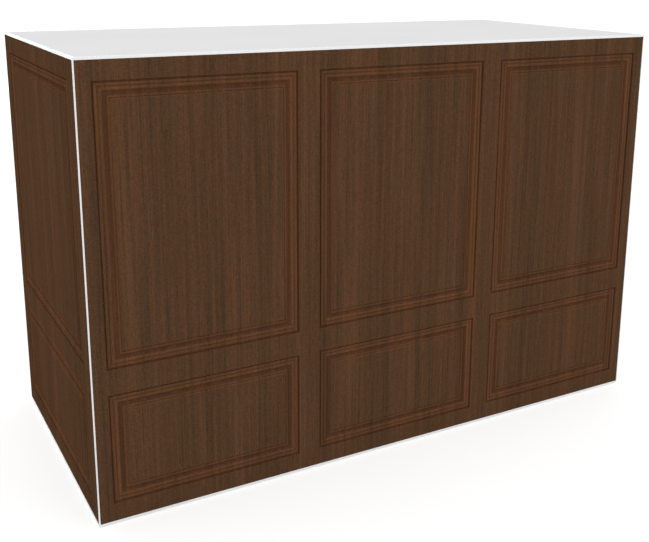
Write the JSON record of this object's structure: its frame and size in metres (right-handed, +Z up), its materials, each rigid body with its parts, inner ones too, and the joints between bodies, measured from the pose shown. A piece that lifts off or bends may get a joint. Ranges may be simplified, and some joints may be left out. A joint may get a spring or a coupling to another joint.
{
  "type": "service bar",
  "caption": "Free-standing box-shaped service bar: slim white frame, walnut wainscot panels on front and ends, flat pale top, open staff side with a deck and a shelf.",
  "frame": {"origin": "on the floor under the middle of the bar", "axes": "+X along the front to the customers' right, +Y from the customers' side to the staff side, +Z up"},
  "size_m": [1.6, 0.75, 1.067],
  "materials": {
    "frame_white": "satin",
    "walnut": "satin",
    "worktop": "satin",
    "board_white": "satin",
    "zinc_steel": "satin",
    "magnet": "gloss",
    "connector_black": "matte",
    "foot_nylon": "matte"
  },
  "bodies": {
    "frame": {"post_front_left": "frame_white", "post_front_right": "frame_white", "post_back_left": "frame_white", "post_back_right": "frame_white", "rail_bottom_front": "frame_white", "rail_bottom_back": "frame_white", "rail_bottom_left": "frame_white", "rail_bottom_right": "frame_white", "rail_top_front": "frame_white", "rail_top_back": "frame_white", "rail_top_left": "frame_white", "rail_top_right": "frame_white", "brace_top": "frame_white", "brace_bottom": "frame_white", "brace_plates": "frame_white", "deck": "board_white", "bearer_left": "frame_white", "bearer_right": "frame_white", "connectors_bottom": "connector_black", "connectors_top": "connector_black", "plate_screws": "zinc_steel", "top_pins": "zinc_steel", "deck_screws": "zinc_steel", "bearer_screws": "zinc_steel", "foot_inserts": "zinc_steel", "front_magnets": "magnet", "left_magnets": "magnet", "right_magnets": "magnet"},
    "front_board": {"front_panel": "walnut", "front_strikes": "zinc_steel"},
    "left_board": {"left_panel": "walnut", "left_strikes": "zinc_steel"},
    "right_board": {"right_panel": "walnut", "right_strikes": "zinc_steel"},
    "top_board": {"top_panel": "worktop"},
    "shelf_board": {"shelf": "board_white", "shelf_stiffeners": "frame_white"},
    "pad_front_left": {"foot_pad_front_left": "foot_nylon"},
    "stud_front_left": {"foot_stud_front_left": "zinc_steel"},
    "pad_front_right": {"foot_pad_front_right": "foot_nylon"},
    "stud_front_right": {"foot_stud_front_right": "zinc_steel"},
    "pad_back_left": {"foot_pad_back_left": "foot_nylon"},
    "stud_back_left": {"foot_stud_back_left": "zinc_steel"},
    "pad_back_right": {"foot_pad_back_right": "foot_nylon"},
    "stud_back_right": {"foot_stud_back_right": "zinc_steel"}
  },
  "joints": [
    {"name": "front_board_pull", "type": "slide", "parent": "frame", "child": "front_board", "axis": [0, -1, 0], "range_m": [0, 0.06]},
    {"name": "left_board_pull", "type": "slide", "parent": "frame", "child": "left_board", "axis": [-1, 0, 0], "range_m": [0, 0.06]},
    {"name": "right_board_pull", "type": "slide", "parent": "frame", "child": "right_board", "axis": [1, 0, 0], "range_m": [0, 0.06]},
    {"name": "top_board_lift", "type": "slide", "parent": "frame", "child": "top_board", "axis": [0, 0, 1], "range_m": [0, 0.06]},
    {"name": "shelf_slide", "type": "slide", "parent": "frame", "child": "shelf_board", "axis": [0, 1, 0], "range_m": [0, 0.3]},
    {"name": "foot_travel_front_left", "type": "slide", "parent": "frame", "child": "pad_front_left", "axis": [0, 0, -1], "range_m": [0, 0.015]},
    {"name": "foot_turn_front_left", "type": "hinge", "parent": "pad_front_left", "child": "stud_front_left", "pos_m": [-0.764, -0.235, 0.01], "axis": [0, 0, -1], "range_deg": [0, 3600]},
    {"name": "foot_travel_front_right", "type": "slide", "parent": "frame", "child": "pad_front_right", "axis": [0, 0, -1], "range_m": [0, 0.015]},
    {"name": "foot_turn_front_right", "type": "hinge", "parent": "pad_front_right", "child": "stud_front_right", "pos_m": [0.764, -0.235, 0.01], "axis": [0, 0, -1], "range_deg": [0, 3600]},
    {"name": "foot_travel_back_left", "type": "slide", "parent": "frame", "child": "pad_back_left", "axis": [0, 0, -1], "range_m": [0, 0.015]},
    {"name": "foot_turn_back_left", "type": "hinge", "parent": "pad_back_left", "child": "stud_back_left", "pos_m": [-0.764, 0.235, 0.01], "axis": [0, 0, -1], "range_deg": [0, 3600]},
    {"name": "foot_travel_back_right", "type": "slide", "parent": "frame", "child": "pad_back_right", "axis": [0, 0, -1], "range_m": [0, 0.015]},
    {"name": "foot_turn_back_right", "type": "hinge", "parent": "pad_back_right", "child": "stud_back_right", "pos_m": [0.764, 0.235, 0.01], "axis": [0, 0, -1], "range_deg": [0, 3600]}
  ],
  "couplings": [
    {"joint": "foot_turn_front_left", "follows": "foot_travel_front_left", "rad_per_m": 4188.8},
    {"joint": "foot_turn_front_right", "follows": "foot_travel_front_right", "rad_per_m": 4188.8},
    {"joint": "foot_turn_back_left", "follows": "foot_travel_back_left", "rad_per_m": 4188.8},
    {"joint": "foot_turn_back_right", "follows": "foot_travel_back_right", "rad_per_m": 4188.8}
  ]
}
